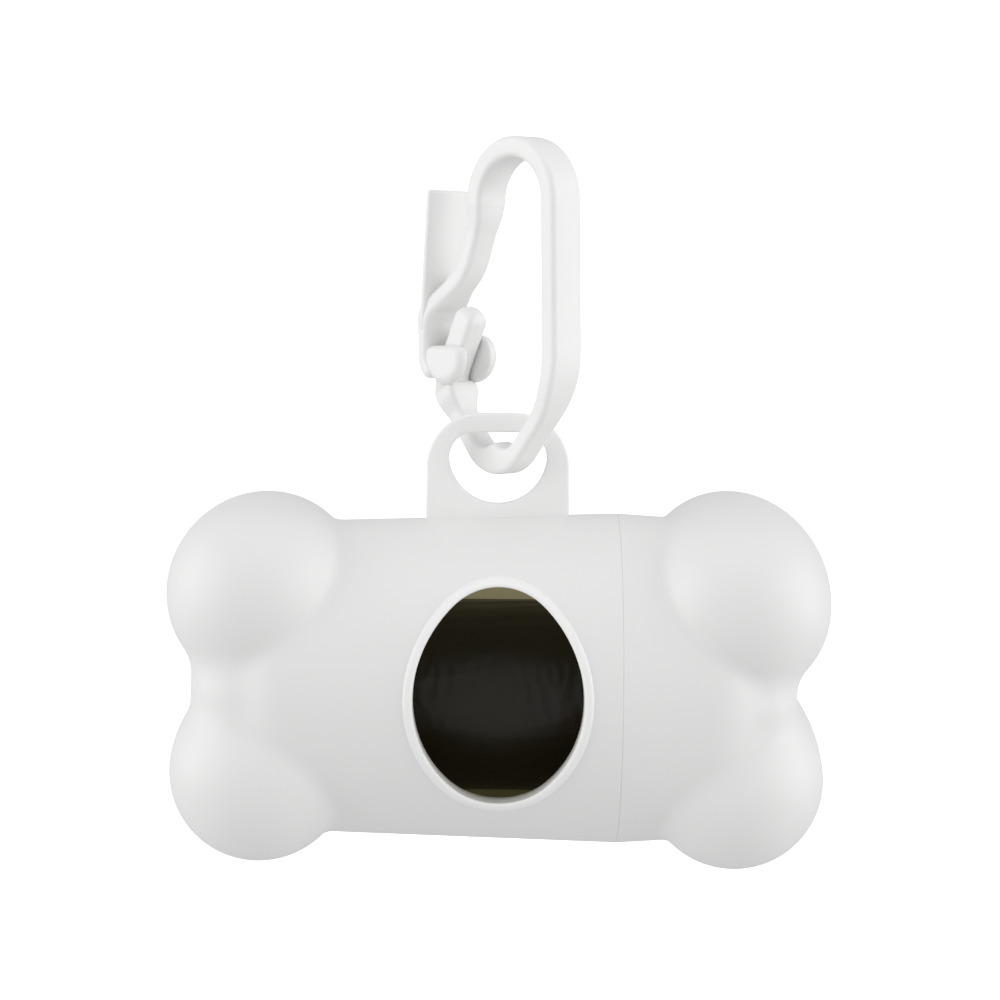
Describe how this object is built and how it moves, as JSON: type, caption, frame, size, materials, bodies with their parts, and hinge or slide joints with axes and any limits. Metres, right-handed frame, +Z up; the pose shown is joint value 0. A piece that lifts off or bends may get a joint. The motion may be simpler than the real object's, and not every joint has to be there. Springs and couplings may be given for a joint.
{
  "type": "waste bag dispenser with snap clip",
  "caption": "Bone-shaped white dispenser for a roll of pet waste bags, with an oval window, a push-fit end cap and a snap clip through its lug.",
  "frame": {"origin": "centre of the clip's top bend, where a leash holds it; the dispenser hangs below", "axes": "+X along the barrel towards the end cap, -Y towards the window side, +Z up"},
  "size_m": [0.0846, 0.0419, 0.092],
  "materials": {
    "shell_plastic": "white injection-moulded plastic with a soft gloss",
    "clip_plastic": "white moulded plastic, satin",
    "bag_film": "thin black film, wound and slightly wrinkled",
    "core_card": "plain grey-brown card"
  },
  "bodies": {
    "clip": {"clip_frame": "clip_plastic"},
    "gate": {"clip_gate": "clip_plastic"},
    "dispenser": {"body_shell": "shell_plastic"},
    "cap": {"end_cap": "shell_plastic"},
    "roll": {"bag_roll": "bag_film", "roll_core": "core_card"}
  },
  "joints": [
    {"name": "gate_flex", "type": "hinge", "parent": "clip", "child": "gate", "pos_m": [-0.00714, 0.00785, -0.00949], "axis": [0.7396, 0.673, 0], "range_deg": [0, 18], "stiffness_Nm_per_rad": 0.35},
    {"name": "swing", "type": "hinge", "parent": "clip", "child": "dispenser", "pos_m": [-0.00279, 0.00251, -0.0276], "axis": [1, 0, 0], "range_deg": [-25, 40]},
    {"name": "cap_pull", "type": "slide", "parent": "dispenser", "child": "cap", "axis": [1, 0, 0], "range_m": [0, 0.02]},
    {"name": "roll_spin", "type": "hinge", "parent": "dispenser", "child": "roll", "pos_m": [-0.00249, 0.0068, -0.06312], "axis": [1, 0, 0], "continuous": true}
  ]
}
